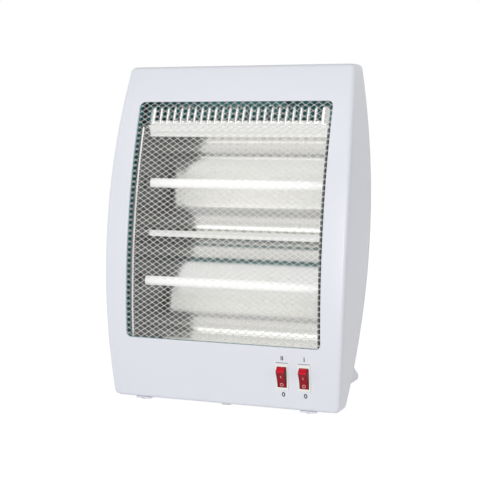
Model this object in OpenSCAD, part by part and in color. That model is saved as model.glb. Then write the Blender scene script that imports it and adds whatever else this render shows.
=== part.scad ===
// Two-tube quartz bar heater: a leaning, convex front shell that holds a guard mesh,
// a double-trough reflector, two quartz tubes, two rocker switches and a tip-over switch.
// Millimetres. +Z is up, the front faces -Y, and the origin is on the floor at the middle.

/* [Body] */
// Width across the widest part of the sides
body_w = 276; // [272:1:296]
// Height of the shell without the gap under it
body_h = 362; // [356:1:380]
// Depth from the foremost point of the front to the deepest point of the back
body_d = 95; // [93:1:105]
// How far the top front edge sits behind the bottom front edge
lean = 48; // [42:1:54]
// How far the front swells out from its chord
front_bulge = 26.6; // [22:0.1:30]
// Depth at the bottom, from the foremost point of the front to the back
base_d = 28; // [27.5:0.5:32]
// Height of the deepest point of the back above the shell's bottom
rear_apex = 242; // [232:1:250]
// How far the sides draw in at the top and bottom
side_bow = 7.7; // [4:0.1:9]
// Rounding between the front and the sides
edge_r = 4; // [3.5:0.5:12]
// Rounding of the four corners, seen from the front
corner_r = 5; // [4:0.5:12]
// Rounding of the top and bottom edges, seen from the side
rim_r = 3; // [2.8:0.1:5]
// Wall of the shell
wall = 2.4; // [2:0.1:2.6]
// Gap between the shell and the floor
ground_gap = 2.5; // [2.3:0.1:4]

/* [Window and guard] */
// Distance from the window to the widest part of the side
window_side = 26.5; // [25:0.5:30]
// Distance from the window's upper edge to the shell's top
window_top = 39; // [36:1:44]
// Distance from the window's lower edge to the shell's bottom
window_low = 67; // [64:1:72]
// Corner radius of the window
window_r = 5.5; // [3:0.5:9]
// Thickness of the guard mesh
mesh_t = 1; // [0.6:0.1:1.4]
// Width of one mesh diamond
mesh_pitch_x = 28; // [26:0.5:34]
// Height of one mesh diamond
mesh_pitch_z = 17.4; // [16:0.2:22]
// Width of a mesh strand
strand_w = 1.5; // [1:0.1:2.5]
// Width of the flat border of the mesh
mesh_border = 4; // [3:0.5:6]
// Width of the guard frame's upper and lower bars
frame_bar = 8; // [6:0.5:8.5]
// Depth of the guard frame
frame_d = 5.4; // [4:0.1:6]
// How much wider the guard frame is than the window, on each side
frame_reveal = 0.6; // [0.2:0.1:1.5]
// Thickness of the frame's screw ears
ear_t = 2.5; // [2:0.1:3.5]

/* [Reflector] */
// Sheet thickness of the reflector
sheet_t = 0.8; // [0.5:0.1:1.2]
// Depth of each trough behind the tube's axis
trough_d = 34; // [28:0.5:36]
// How far a trough's rims stand in front of the tube's axis
rim_out = 1.8; // [0.5:0.1:4]
// Height of the flat strip along each trough's upper rim
flat_h = 4.5; // [3:0.5:8]
// How much further up the upper strip reaches
flat_more = 2; // [0:0.5:4]
// Height of the lower trough's lower rim above the window's lower edge
rim_up = 5.4; // [4:0.2:10]
// Height from the top of one more such strip to the slotted plate
rim_drop = 10.5; // [6:0.5:14]
// Distance of the ridge between the troughs behind the front surface
ridge_back = 35; // [33:0.5:38]
// Distance of the slotted plate's top below the window's upper edge
slot_top = 4; // [3:0.5:6]
// Height of the slotted plate above the upper trough
slot_plate_h = 21; // [19:0.5:23]
// Distance of the slotted plate behind the front surface
slot_plate_back = 12; // [11:0.5:14]
// Distance between the window's side and the first slot
slot_side = 13; // [10:0.5:30]
// Distance between slots
slot_pitch = 8.17; // [6:0.01:8.4]
// Width of a slot
slot_w = 4; // [2:0.1:5]
// Length of a slot
slot_l = 16.5; // [10:0.5:18]

/* [End plates] */
// Thickness of an end plate
plate_t = 0.8; // [0.6:0.1:1.2]
// Distance from the window's side edge to the end plate
plate_inset = 4.4; // [3:0.1:6]
// Distance of the end plate's front lip behind the front surface
lip_back = 7.5; // [6.5:0.1:9]
// Width of the folded lip and of the bent flanges
flange_w = 6; // [4:0.5:8]
// Height of the lower chassis screws above the window's lower edge
chassis_up = 25; // [20:1:34]
// Distance of the upper chassis screws below the window's upper edge
chassis_down = 33; // [30:1:40]

/* [Tubes] */
// Outer diameter of the quartz tubes
tube_d = 10; // [8:0.5:12]
// Wall of the quartz tubes
tube_wall = 1; // [0.8:0.1:1.5]
// How deep the tube sits in its cap
socket_d = 9; // [6:0.5:10]
// Diameter of the heating coil
coil_d = 5.6; // [3:0.1:5.8]
// Diameter of the coil's lead wire
lead_d = 2; // [1.2:0.1:2.4]
// Diameter of the shoulder of a ceramic cap
cap_shoulder_d = 14; // [13:0.5:18]
// Length of the shoulder
cap_shoulder_l = 4.6; // [3:0.2:6]
// Diameter of the neck that passes through the end plate
cap_neck_d = 12; // [11.8:0.1:12.8]
// Length of the neck outside the end plate
cap_neck_l = 10; // [8:0.5:12]

/* [Switches] */
// Height of the switches' centre above the shell's bottom
switch_up = 35.7; // [33:0.1:40]
// Distance of the outer switch from the widest part of the side
switch_side = 44; // [37:0.5:51]
// Distance between the two switches
switch_gap = 24.5; // [20:0.5:30]
// Width of a bezel
bezel_w = 13.4; // [13.2:0.1:16]
// Height of a bezel
bezel_h = 27.7; // [27.4:0.1:30]
// How far a bezel stands out
bezel_t = 1.8; // [1:0.1:2.2]
// Width of a rocker
rocker_w = 10; // [8:0.1:10.4]
// Radius from the pivot to the rocker's ends
rocker_r = 11.95; // [11:0.05:12]
// Distance of the pivot behind the bezel's face
pivot_back = 4.6; // [4:0.1:5]
// Angle a rocker turns between off and on
rocker_throw = 33; // [20:1:34]
// Radius of the rocker's trunnions
trunnion_r = 1.5; // [1:0.1:2]

/* [Tip-over switch] */
// Travel of the plunger
plunger_travel = 5; // [3:0.5:6]
// Radius of the plunger's stem
plunger_r = 3; // [2:0.1:4]
// Radius of the plunger's foot
plunger_foot_r = 5.5; // [4.5:0.1:7]

/* [Rear cover] */
// Thickness of the rear cover
cover_t = 2.2; // [1.8:0.1:2.8]
// Height of the lower vents above the shell's bottom
vent_low = 74; // [68:1:90]
// Distance of the upper vents below the shell's top
vent_down = 70; // [68:1:90]
// Distance of the cover's upper screws below the top and of its lower ones above the bottom
cover_screw_in = 16; // [14:0.5:20]
// Distance of the cover's upper screws from the side
cover_screw_side = 26; // [16:0.5:30]
// Height of the cover's middle screws above the shell's bottom
cover_screw_up = 190; // [170:1:210]
// Distance of the cover's lower screws from the middle
cover_screw_x = 52; // [40:1:60]
// Rows of vents in each group
vent_rows = 6; // [3:1:7]
// Distance between vent rows
vent_pitch = 8; // [7:0.5:9]
// Height of a vent
vent_h = 4; // [3:0.1:5]
// Length of a vent
vent_l = 56; // [40:1:60]
// Width of the finger recess
grip_w = 96; // [84:1:110]
// Height of the finger recess
grip_h = 24; // [20:0.5:26]
// Depth of the finger recess
grip_d = 20; // [16:0.5:24]
// Distance of the finger recess's middle below the top
grip_down = 37; // [34:1:44]
// Radius of the bore for a cord in the bush
cord_r = 3.8; // [3:0.1:4.5]
// Distance of the cord bush from the middle
bush_side = 52; // [40:1:60]
// Height of the cord bush above the shell's bottom
bush_up = 58; // [54:1:62]

/* [Feet] */
// How far the feet stand out behind the deepest point of the back
foot_reach = 71; // [60:1:80]
// Height at which a foot leaves the back
foot_h = 80; // [70:1:90]
// Width of a foot
foot_w = 18; // [17.5:0.5:22]
// Distance of a foot's outer side from the widest part of the shell's side
foot_side = 33.5; // [30:0.5:38]
// Radius of the rounded heel
heel_r = 3.5; // [2.5:0.5:5]
// Height of the heel's middle over the floor
heel_up = 10.7; // [8:0.1:14]
// Length of the part at the heel that is kicked up over the floor
heel_kick = 37; // [26:1:44]
// Wall of a foot
foot_wall = 2.4; // [2:0.1:3]

/* [Fasteners] */
// Radius of the screws' shanks
screw_r = 1.5; // [1.2:0.1:1.6]
// Radius of the screws' heads
screw_head_r = 3.4; // [3:0.1:3.6]
// Radius of the screw bosses
boss_r = 4; // [3.5:0.1:4.2]

/* [Hidden] */
// Clearances: sliding, assembly and between mouldings
run_fit = 0.05;
seat = 0.1;
fit = 0.4;
// Smoothness of small round features and of the very large radii
$fn = 48;
fine = 720;
// Levels of the shell: steps round a corner and up a side, and steps round the front edge
rim_steps = 6;
side_steps = 16;
edge_steps = 5;

z_low = ground_gap;
z_high = z_low + body_h;

// The front is an arc in side view, held by its chord and its bulge
chord = norm([lean, body_h]);
front_r = (chord * chord / 4 + front_bulge * front_bulge) / (2 * front_bulge);
front_cz = z_low + body_h / 2 - (front_r - front_bulge) * lean / chord;
lean_a = atan2(lean, body_h);
function front_sag(z) = front_r - sqrt(pow(front_r, 2) - pow(z - front_cz, 2));
function front_tilt(z) = asin((z - front_cz) / front_r);

// A rocker's raised end is the foremost point of all, so the depth is centred between
// it and the feet's heels
switch_z = z_low + switch_up;
switch_tilt = -front_tilt(switch_z);
pivot_y = pivot_back - bezel_t;
rocker_rest = rocker_throw / 2;
rocker_corner = asin(pivot_back / rocker_r) + rocker_throw / 2;
raised_y = pivot_y - rocker_r * sin(rocker_corner + rocker_rest);
raised_z = rocker_r * cos(rocker_corner + rocker_rest);
proud = raised_z * sin(switch_tilt) - raised_y * cos(switch_tilt) - front_sag(switch_z);
y_front = (proud - body_d - foot_reach) / 2;
y_back = y_front + body_d + foot_reach;
front_cy = y_front + front_r;

// The back is an arc too, from its depth at the bottom to its deepest point
rear_rise = body_d - base_d;
rear_r = (rear_apex * rear_apex + rear_rise * rear_rise) / (2 * rear_rise);
rear_cy = y_front + body_d - rear_r;
rear_cz = z_low + rear_apex;

function front_y(z) = y_front + front_sag(z);
function rear_y(z) = rear_cy + sqrt(pow(rear_r, 2) - pow(z - rear_cz, 2));
function half_w(z) = body_w / 2 - side_bow * pow(2 * (z - z_low) / body_h - 1, 2);

// Window, mesh and frame
window_w = body_w - 2 * window_side;
window_h = body_h - window_low - window_top;
win_z0 = z_low + window_low;
win_z1 = win_z0 + window_h;
mesh_back = wall + 0.3;
frame_back = mesh_back + mesh_t + seat;
frame_end = frame_back + frame_d;
win_zc = (win_z0 + win_z1) / 2;

// Chassis screws: boss, ear of the frame and tab of the end plate on one screw
chassis_z = [win_z0 + chassis_up, win_z1 - chassis_down];
boss_back = frame_end + 0.8;
boss_side = 1.6;
function chassis_x(z) = half_w(z) - wall - boss_r - boss_side;
function boss_y(z) = front_y(z) + boss_back;
tab_h = 12;

// The frame and the mesh reach sideways to the chassis bosses
frame_w = 2 * (min(chassis_x(chassis_z[0]), chassis_x(chassis_z[1])) - boss_r - fit);
frame_h = window_h + 2 * frame_reveal + 2 * frame_bar;
frame_open_w = window_w + 2 * frame_reveal;
frame_open_h = window_h + 2 * frame_reveal;
mesh_w = frame_w - 2 * frame_reveal;
mesh_h = frame_h - 2 * frame_reveal;

// Reflector: v runs straight back and u up along the lean, from the ridge
plate_x = window_w / 2 - plate_inset;
slot_z1 = win_z1 - slot_top;
slot_z0 = slot_z1 - slot_plate_h;
slot_zc = slot_z1 - slot_l / 2 + slot_w / 2;
slot_run_back = 6;
tube_pitch = (slot_z0 - rim_drop - win_z0 - rim_up) / 2 / cos(lean_a);
ridge_z = win_z0 + rim_up + tube_pitch * cos(lean_a);
ridge_y = front_y(ridge_z) + ridge_back;
trough_half = (tube_pitch - flat_h) / 2;
trough_rise = trough_d + rim_out;
trough_r = (pow(trough_half, 2) + pow(trough_rise, 2)) / (2 * trough_rise);
ledge_rise = 2;
function at_vu(v, u) = [
    ridge_y + v * cos(lean_a) + u * sin(lean_a),
    ridge_z - v * sin(lean_a) + u * cos(lean_a)
];
tube_low = at_vu(0, -tube_pitch / 2);
tube_high = at_vu(0, tube_pitch / 2);
slot_count = floor((window_w - 2 * slot_side) / slot_pitch);
bottom_lip_z = win_z0 - 6;

// Tubes and caps, measured from the inner face of the end plate
plate_in = plate_x - plate_t;
cap_in = plate_in - seat - cap_shoulder_l;
tube_end = cap_in + socket_d;
cap_out = plate_x + cap_neck_l;
lead_end = cap_out + 6;

// Switches
switch_y = front_y(switch_z);
switch_xs = [body_w / 2 - switch_side - switch_gap, body_w / 2 - switch_side];
body_sw_w = bezel_w - 1;
body_sw_h = 2 * rocker_r + 1.8;
body_sw_d = 17;

// Tip-over switch
tip_floor = z_low + wall;
base_front = front_y(z_low) + wall;
base_rear = rear_y(tip_floor) - cover_t - fit;
tip_y = (base_front + base_rear) / 2;
tip_boss_h = 4;
tip_ear_x = 17;
tip_ear_d = 8;
tip_ear_t = 2.2;
tip_body_w = 22;
tip_body_d = 14;
tip_screw_l = 7;
chamber_r = 5;
collar_z = tip_floor + 4.7 + plunger_travel;
collar_h = 2;
chamber_top = collar_z + collar_h + 5;

// Snap-disc cut-out on the left end plate, and the insulated leads
cutout_at = at_vu(4, 0);
lead_r = 1.3;
lead_x = plate_x + 12.2;
blade_l = 10;
blade_w = 6.3;
blade_t = 0.8;
blade_out = 7.1;
blade_back = body_sw_d + blade_out + lead_r + seat;
function switch_point(y, z) = [
    switch_y + y * cos(switch_tilt) - z * sin(switch_tilt),
    switch_z + y * sin(switch_tilt) + z * cos(switch_tilt)
];
blade_up = switch_point(blade_back, 6);
blade_low = switch_point(blade_back, -6);

// Rear cover
cover_r = rear_r - 0.4;
cover_screws = [
    [half_w(z_high) - cover_screw_side, z_high - cover_screw_in],
    [half_w(rear_cz) - wall - boss_r - 3, z_low + cover_screw_up],
    [cover_screw_x, z_low + cover_screw_in]
];
screw_seat_in = 2.8;
plate_clear = 1.5;
bush_seat_in = 1.2;
lip_d = 9;
lip_t = 1.6;
function cover_seat(z) = min(rear_y(z - boss_r), rear_y(z + boss_r)) - screw_seat_in;
grip_z = z_high - grip_down;
bush_x = -bush_side;
bush_z = z_low + bush_up;
bush_r = 7;
bush_seat_r = 10;
bush_y = rear_y(bush_z - bush_seat_r) - bush_seat_in;

// Feet
foot_x = body_w / 2 - foot_side;
foot_screw_y = base_rear - boss_r - 1;
foot_screw_xs = [foot_x - foot_w / 2 - 4.6, foot_x - foot_w / 2 + 4.6];
foot_screw_l = 10;
foot_top_y = rear_y(foot_h);
fin_y0 = rear_y(0) - 6;
back_gap = 0.3;
heel = [y_back - heel_r, heel_up];
sole_z = 0.5;
heel_slope = heel_up - heel_r - sole_z;
pad_r = 4;
pad_t = 1.5;
pad_ys = [foot_screw_y - screw_head_r - pad_r - 0.9, y_back - heel_kick - pad_r - 4];
sole_y0 = pad_ys[0] - pad_r - 1.2;
foot_cx = foot_x - foot_w / 2;

// Terminal block on the front wall below the window
block_x = -38;
block_z = z_low + 40;
block_w = 40;
block_h = 16;
block_d = 13;
block_y = front_y(block_z) + wall + 6;

// Prism of a side-view outline (Y, Z), from x0 along +X
module along_x(x0, len) {
    translate([x0, 0, 0]) rotate([90, 0, 90]) linear_extrude(len) children();
}

// Prism of a front-view outline (X, Z), from y0 along +Y
module along_y(y0, len) {
    translate([0, y0 + len, 0]) rotate([90, 0, 0]) linear_extrude(len) children();
}

module x_pin(x0, len, yz, r) {
    translate([x0, yz[0], yz[1]]) rotate([0, 90, 0]) cylinder(h = len, r = r);
}

module y_pin(x, z, y0, len, r) {
    translate([x, y0, z]) rotate([-90, 0, 0]) cylinder(h = len, r = r);
}

module round_rect(w, h, r) {
    square([w - 2 * r, h], center = true);
    square([w, h - 2 * r], center = true);
    for (x = [-1, 1])
        for (z = [-1, 1])
            translate([x * (w / 2 - r), z * (h / 2 - r)]) circle(r);
}

module mirror_left(side) {
    mirror([side == "left" ? 1 : 0, 0, 0]) children();
}

// The curved layer between two depths behind the front surface
module front_layer(d0, d1) {
    difference() {
        x_pin(-body_w / 2, body_w, [front_cy, front_cz], front_r - d0, $fn = fine);
        x_pin(-body_w, 2 * body_w, [front_cy, front_cz], front_r - d1, $fn = fine);
    }
}

// Everything in front of the curved back
module inside_back(r) {
    x_pin(-body_w, 2 * body_w, [rear_cy, rear_cz], r, $fn = fine);
}

// Setback of a rounding of radius r at the distance d from the end that it rounds
function ease(d, r) = d >= r ? 0 : r - sqrt(max(0, r * r - (r - d) * (r - d)));

// Heights at which the shell is cut: close together round the corners
function levels(inset) =
    let (r = corner_r - inset, lo = z_low + inset, hi = z_high - inset)
    concat(
        [for (i = [0:rim_steps]) lo + r * (1 - cos(90 * i / rim_steps))],
        [for (i = [1:side_steps - 1]) lo + r + (hi - lo - 2 * r) * i / side_steps],
        [for (i = [rim_steps:-1:0]) hi - r * (1 - cos(90 * i / rim_steps))]
    );
function end_gap(z, inset) = min(z - z_low, z_high - z) - inset;
function level_w(z, inset) = half_w(z) - inset - ease(end_gap(z, inset), corner_r - inset);

// One cut through the shell, from the rear left round the front to the rear right
function cut(z, inset, tail) =
    let (
        w = level_w(z, inset),
        rim = ease(end_gap(z, inset), max(0.2, rim_r - inset)),
        f = front_y(z) + inset + rim,
        r = edge_r - inset,
        b = rear_y(z) - rim + tail
    )
    concat(
        [[-w, b, z]],
        [for (i = [0:edge_steps]) let (a = 180 + 90 * i / edge_steps)
            [-w + r + r * cos(a), f + r + r * sin(a), z]],
        [for (i = [0:edge_steps]) let (a = 270 + 90 * i / edge_steps)
            [w - r + r * cos(a), f + r + r * sin(a), z]],
        [[w, b, z]]
    );

// The shell's outer form, drawn in by inset and lengthened to the rear by tail
module shell_form(inset, tail) {
    zs = levels(inset);
    n = 2 * edge_steps + 4;
    last = len(zs) - 1;
    points = [for (z = zs) each cut(z, inset, tail)];
    sides = [
        for (i = [0:last - 1])
            for (j = [0:n - 1])
                let (a = i * n + j, b = i * n + (j + 1) % n)
                each [[a, a + n, b + n], [a, b + n, b]]
    ];
    polyhedron(points, concat(
        [[for (j = [0:n - 1]) j]],
        sides,
        [[for (j = [n - 1:-1:0]) last * n + j]]
    ), convexity = 4);
}

// Front-view outline of the rear opening, drawn in by inset
module opening_outline(inset) {
    zs = levels(inset);
    polygon(concat(
        [for (z = zs) [level_w(z, inset), z]],
        [for (i = [len(zs) - 1:-1:0]) [-level_w(zs[i], inset), zs[i]]]
    ));
}

module housing_bosses() {
    for (s = [-1, 1]) {
        for (z = chassis_z)
            y_pin(s * chassis_x(z), z, y_front - 1, boss_y(z) - y_front + 1, boss_r);
        for (p = cover_screws)
            y_pin(s * p[0], p[1], y_front - 1, cover_seat(p[1]) - cover_t - seat - y_front + 1, boss_r);
        for (x = foot_screw_xs)
            translate([s * x, foot_screw_y, 0]) cylinder(h = tip_floor + 9, r = boss_r);
        translate([s * tip_ear_x, tip_y, 0]) cylinder(h = tip_floor + tip_boss_h, r = boss_r);
        y_pin(block_x + s * (block_w / 2 - 5), block_z, y_front - 1, block_y - y_front + 1, boss_r);
    }
}

module housing_holes() {
    for (s = [-1, 1]) {
        for (z = chassis_z)
            y_pin(s * chassis_x(z), z, boss_y(z) - 6, 10, screw_r + run_fit);
        for (p = cover_screws)
            y_pin(s * p[0], p[1], cover_seat(p[1]) - cover_t - 12, 14, screw_r + run_fit);
        for (x = foot_screw_xs)
            translate([s * x, foot_screw_y, z_low - 1]) cylinder(h = 11, r = screw_r + run_fit);
        translate([s * tip_ear_x, tip_y, z_low + 1.2]) cylinder(h = 9, r = screw_r + run_fit);
        y_pin(block_x + s * (block_w / 2 - 5), block_z, block_y - 6, 8, screw_r + run_fit);
    }
    translate([0, tip_y, 0]) cylinder(h = tip_floor + 1, r = plunger_r + fit);
}

module front_housing() {
    color("white")
    difference() {
        shell_form(0, 0);
        difference() {
            shell_form(wall, 30);
            housing_bosses();
        }
        along_y(y_front - 1, 100)
            translate([0, win_zc]) round_rect(window_w, window_h, window_r);
        for (x = switch_xs)
            at_switch(x) translate([0, 4, 0])
                cube([body_sw_w + 2 * fit / 2, 30, body_sw_h + fit], center = true);
        housing_holes();
    }
}

module vents(z0) {
    for (i = [0:vent_rows - 1])
        for (x = [-1, 0, 1])
            translate([x * (vent_l + 8), z0 + i * vent_pitch])
                round_rect(vent_l, vent_h, vent_h / 2 - 0.01);
}

module rear_cover() {
    color("teal")
    difference() {
        intersection() {
            inside_back(cover_r);
            union() {
                difference() {
                    along_y(y_front, 2 * body_d) opening_outline(wall + fit);
                    inside_back(cover_r - cover_t);
                }
                // Lip that locates the cover inside the shell's sides and top
                difference() {
                    along_y(y_front, 2 * body_d) opening_outline(wall + fit);
                    along_y(y_front - 1, 2 * body_d + 2) opening_outline(wall + fit + lip_t);
                    inside_back(cover_r - lip_d);
                    translate([-body_w, -body_d, 0]) cube([2 * body_w, 2 * body_d, z_low + 30]);
                }
                for (p = cover_screws)
                    for (s = [-1, 1])
                        y_pin(s * p[0], p[1], cover_seat(p[1]) - cover_t, 20, boss_r + 1.6);
                y_pin(bush_x, bush_z, bush_y - cover_t, 30, bush_seat_r + 2);
                along_y(rear_y(grip_z) - grip_d - cover_t, 40)
                    translate([0, grip_z])
                        round_rect(grip_w + 2 * cover_t, grip_h + 2 * cover_t, 6 + cover_t);
            }
        }
        for (p = cover_screws)
            for (s = [-1, 1]) {
                y_pin(s * p[0], p[1], cover_seat(p[1]), 20, boss_r);
                y_pin(s * p[0], p[1], cover_seat(p[1]) - 10, 20, screw_r + 0.3);
            }
        y_pin(bush_x, bush_z, bush_y, 30, bush_seat_r);
        y_pin(bush_x, bush_z, bush_y - 10, 30, bush_r + seat);
        along_y(rear_y(grip_z) - grip_d, 60)
            translate([0, grip_z]) round_rect(grip_w, grip_h, 6);
        along_y(y_front, 2 * body_d) {
            vents(z_high - vent_down - (vent_rows - 1) * vent_pitch);
            vents(z_low + vent_low);
        }
    }
}

// Expanded mesh, seen flat: one row of diamonds is set half a pitch beside the next
module mesh_gaps() {
    nx = ceil(mesh_w / mesh_pitch_x / 2);
    nz = ceil(window_h / mesh_pitch_z);
    strand = strand_w / cos(atan2(mesh_pitch_z, mesh_pitch_x));
    k = 1 - strand / mesh_pitch_z;
    for (j = [-nz:nz])
        for (i = [-nx:nx])
            translate([(i + (j % 2 == 0 ? 0 : 0.5)) * mesh_pitch_x, win_zc + j * mesh_pitch_z / 2])
                polygon([
                    [k * mesh_pitch_x / 2, 0], [0, k * mesh_pitch_z / 2],
                    [-k * mesh_pitch_x / 2, 0], [0, -k * mesh_pitch_z / 2]
                ]);
}

module guard_mesh() {
    color("whitesmoke")
    intersection() {
        front_layer(mesh_back, mesh_back + mesh_t);
        along_y(y_front, body_d)
            difference() {
                translate([0, win_zc]) square([mesh_w, mesh_h], center = true);
                intersection() {
                    translate([0, win_zc])
                        square([mesh_w - 2 * mesh_border, mesh_h - 2 * mesh_border], center = true);
                    mesh_gaps();
                }
            }
    }
}

module guard_frame() {
    color("teal")
    difference() {
        union() {
            intersection() {
                front_layer(frame_back, frame_end);
                along_y(y_front, body_d)
                    translate([0, win_zc])
                        difference() {
                            round_rect(frame_w, frame_h, window_r + frame_bar);
                            round_rect(frame_open_w, frame_open_h, window_r);
                        }
            }
            for (s = ["left", "right"])
                for (z = chassis_z)
                    mirror_left(s) frame_ear(z);
        }
        for (s = [-1, 1])
            for (z = chassis_z)
                y_pin(s * chassis_x(z), z, boss_y(z) - 1, 10, screw_r + 0.3);
    }
}

// Ear on the frame's bar that reaches over a chassis boss
module frame_ear(z) {
    x0 = frame_open_w / 2 + 1;
    translate([x0, boss_y(z) - 3, z - tab_h / 2])
        cube([frame_w / 2 - x0, 3 + seat + ear_t, tab_h]);
    translate([x0, boss_y(z) + seat, z - tab_h / 2])
        cube([chassis_x(z) + boss_r - x0, ear_t, tab_h]);
}

// A straight run of sheet, seen from the side, between two points
module sheet_run(p, q) {
    d = q - p;
    translate(p) rotate(atan2(d[1], d[0]))
        translate([-sheet_t / 2, -sheet_t / 2]) square([norm(d) + sheet_t, sheet_t]);
}

// Side view of one trough, level with its tube and cut off by a rise at the lower rim,
// with the flat strip along its upper rim
module trough(tube, rise, strip_h) {
    translate(tube) {
        intersection() {
            difference() {
                translate([trough_d - trough_r, 0]) circle(trough_r + sheet_t, $fn = fine);
                translate([trough_d - trough_r, 0]) circle(trough_r, $fn = fine);
            }
            translate([-rim_out - 1, rise - trough_half])
                square([trough_rise + sheet_t + 2, 2 * trough_half - rise]);
        }
        translate([-rim_out, trough_half - sheet_t / 2]) square([sheet_t, strip_h + sheet_t]);
    }
}

module slotted_plate() {
    p = [front_y(slot_z0) + slot_plate_back, slot_z0];
    q = [front_y(slot_z1) + slot_plate_back, slot_z1];
    difference() {
        along_x(-window_w / 2, window_w) {
            sheet_run(p, q);
            sheet_run(q, q + [slot_run_back, 0]);
        }
        along_y(y_front, q[0] + slot_run_back / 2 - y_front)
            for (i = [0:slot_count - 1])
                translate([(i - (slot_count - 1) / 2) * slot_pitch, slot_zc])
                    round_rect(slot_w, slot_l, slot_w / 2 - 0.01);
    }
}

module reflector() {
    inside_w = 2 * (plate_in - seat);
    rim = sheet_t / 2 - rim_out;
    rim_top = tube_high + [rim, trough_half + flat_h + flat_more];
    rim_low = tube_low + [rim, -trough_half];
    crease = tube_low + [rim, trough_half + flat_h];
    mid_r = trough_r + sheet_t / 2;
    turn = asin((trough_half - ledge_rise) / mid_r);
    ledge_end = tube_high + [trough_d - trough_r + mid_r * cos(turn), -mid_r * sin(turn)];
    lip = [front_y(bottom_lip_z) + frame_end + 1.6, bottom_lip_z];
    color("silver")
    union() {
        along_x(-inside_w / 2, inside_w) {
            trough(tube_high, ledge_rise, flat_h + flat_more);
            trough(tube_low, 0, flat_h);
            // Ledge from the lower trough's strip back to the upper trough
            sheet_run(crease, ledge_end);
            sheet_run(rim_top, [front_y(slot_z0) + slot_plate_back, slot_z0]);
            sheet_run(rim_low, lip);
            sheet_run(lip, lip - [0, 5]);
        }
        slotted_plate();
    }
}

// Side view of an end plate: the lip follows the front, the rear edge follows the lean
module end_plate_outline(back) {
    intersection() {
        translate([front_cy, front_cz]) circle(front_r - back, $fn = fine);
        translate([y_front, bottom_lip_z - 3])
            square([2 * body_d, slot_z0 - 2.2 - bottom_lip_z + 3]);
        translate([ridge_y, ridge_z]) rotate(-lean_a)
            translate([-body_d, -body_h])
                square([body_d + trough_d + sheet_t + 1.2, 2 * body_h]);
        // Corners clear of the rear cover
        translate([rear_cy, rear_cz]) circle(cover_r - cover_t - plate_clear, $fn = fine);
        // Cut back behind the frame's lower bar
        union() {
            translate([front_cy, front_cz]) circle(front_r - frame_end - fit, $fn = fine);
            translate([y_front, win_z0]) square([2 * body_d, body_h]);
        }
    }
}

module end_plate(side) {
    color("gray")
    mirror_left(side)
    difference() {
        union() {
            along_x(plate_in, plate_t) end_plate_outline(lip_back);
            // Folded front lip
            along_x(plate_in, 2 * plate_t)
                difference() {
                    end_plate_outline(lip_back);
                    end_plate_outline(lip_back + 3);
                }
            // Bent flange down the rear edge
            along_x(plate_in, flange_w)
                difference() {
                    end_plate_outline(lip_back);
                    translate([ridge_y, ridge_z]) rotate(-lean_a)
                        translate([-body_d, -body_h])
                            square([body_d + trough_d + sheet_t + 1.2 - plate_t, 2 * body_h]);
                }
            for (z = chassis_z)
                translate([plate_in, boss_y(z) + ear_t + 2 * seat, z - tab_h / 2])
                    cube([chassis_x(z) + boss_r - plate_in, plate_t, tab_h]);
        }
        for (p = [tube_low, tube_high])
            x_pin(plate_in - 1, 10, p, cap_neck_d / 2 + seat);
        for (z = chassis_z)
            y_pin(chassis_x(z), z, boss_y(z), 10, screw_r + 0.3);
    }
}

// Pan-head screw along +Y, its head's seat at y
module screw_y(x, z, y, len) {
    y_pin(x, z, y - len, len + 0.5, screw_r);
    difference() {
        y_pin(x, z, y, 2.2, screw_head_r);
        translate([x, y + 2.2, z]) {
            cube([3.6, 2, 0.7], center = true);
            cube([0.7, 2, 3.6], center = true);
        }
    }
}

module chassis_screws() {
    color("silver")
    for (s = [-1, 1])
        for (z = chassis_z)
            screw_y(s * chassis_x(z), z, boss_y(z) + ear_t + 3 * seat + plate_t, 9);
}

module quartz_tube(yz) {
    color("white")
    difference() {
        x_pin(-tube_end, 2 * tube_end, yz, tube_d / 2);
        x_pin(-tube_end - 1, 2 * tube_end + 2, yz, tube_d / 2 - tube_wall);
    }
}

module heating_coil(yz) {
    color("dimgray")
    union() {
        x_pin(-tube_end + 4, 2 * tube_end - 8, yz, coil_d / 2);
        x_pin(-lead_end, 2 * lead_end, yz, lead_d / 2);
    }
}

module cap(side, yz) {
    color("ivory")
    mirror_left(side)
    difference() {
        union() {
            x_pin(cap_in, cap_shoulder_l, yz, cap_shoulder_d / 2);
            x_pin(cap_in, cap_out - cap_in, yz, cap_neck_d / 2);
            x_pin(plate_x + 3, 2, yz, cap_neck_d / 2 - 0.01);
        }
        x_pin(cap_in - 1, socket_d + 1 + seat, yz, tube_d / 2 + run_fit);
        x_pin(cap_in, cap_out, yz, lead_d / 2 + 0.3);
    }
}

module tube_terminals() {
    color("gold")
    for (s = ["left", "right"])
        for (p = [tube_low, tube_high])
            mirror_left(s)
            difference() {
                x_pin(cap_out + seat, 4.5, p, 3);
                x_pin(cap_out, 10, p, lead_d / 2 + run_fit);
            }
}

// Frame of a switch: x right, y into the body, z up along the front surface
module at_switch(x) {
    translate([x, switch_y, switch_z]) rotate([switch_tilt, 0, 0]) children();
}

module switch_body(x) {
    cavity_w = rocker_w + 0.4;
    color("ivory")
    at_switch(x)
    difference() {
        union() {
            translate([-bezel_w / 2, -bezel_t, -bezel_h / 2]) cube([bezel_w, bezel_t, bezel_h]);
            translate([-body_sw_w / 2, -0.5, -body_sw_h / 2])
                cube([body_sw_w, body_sw_d + 0.5, body_sw_h]);
        }
        intersection() {
            x_pin(-cavity_w / 2, cavity_w, [pivot_y, 0], rocker_r + 0.15);
            translate([-bezel_w, -20, -bezel_h]) cube([2 * bezel_w, 20 + pivot_y + 4, 2 * bezel_h]);
        }
        x_pin(-bezel_w, 2 * bezel_w, [pivot_y, 0], trunnion_r + run_fit);
        for (z = [-6, 6])
            translate([0, body_sw_d, z]) cube([blade_w + seat, 6, blade_t + seat], center = true);
    }
}

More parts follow.
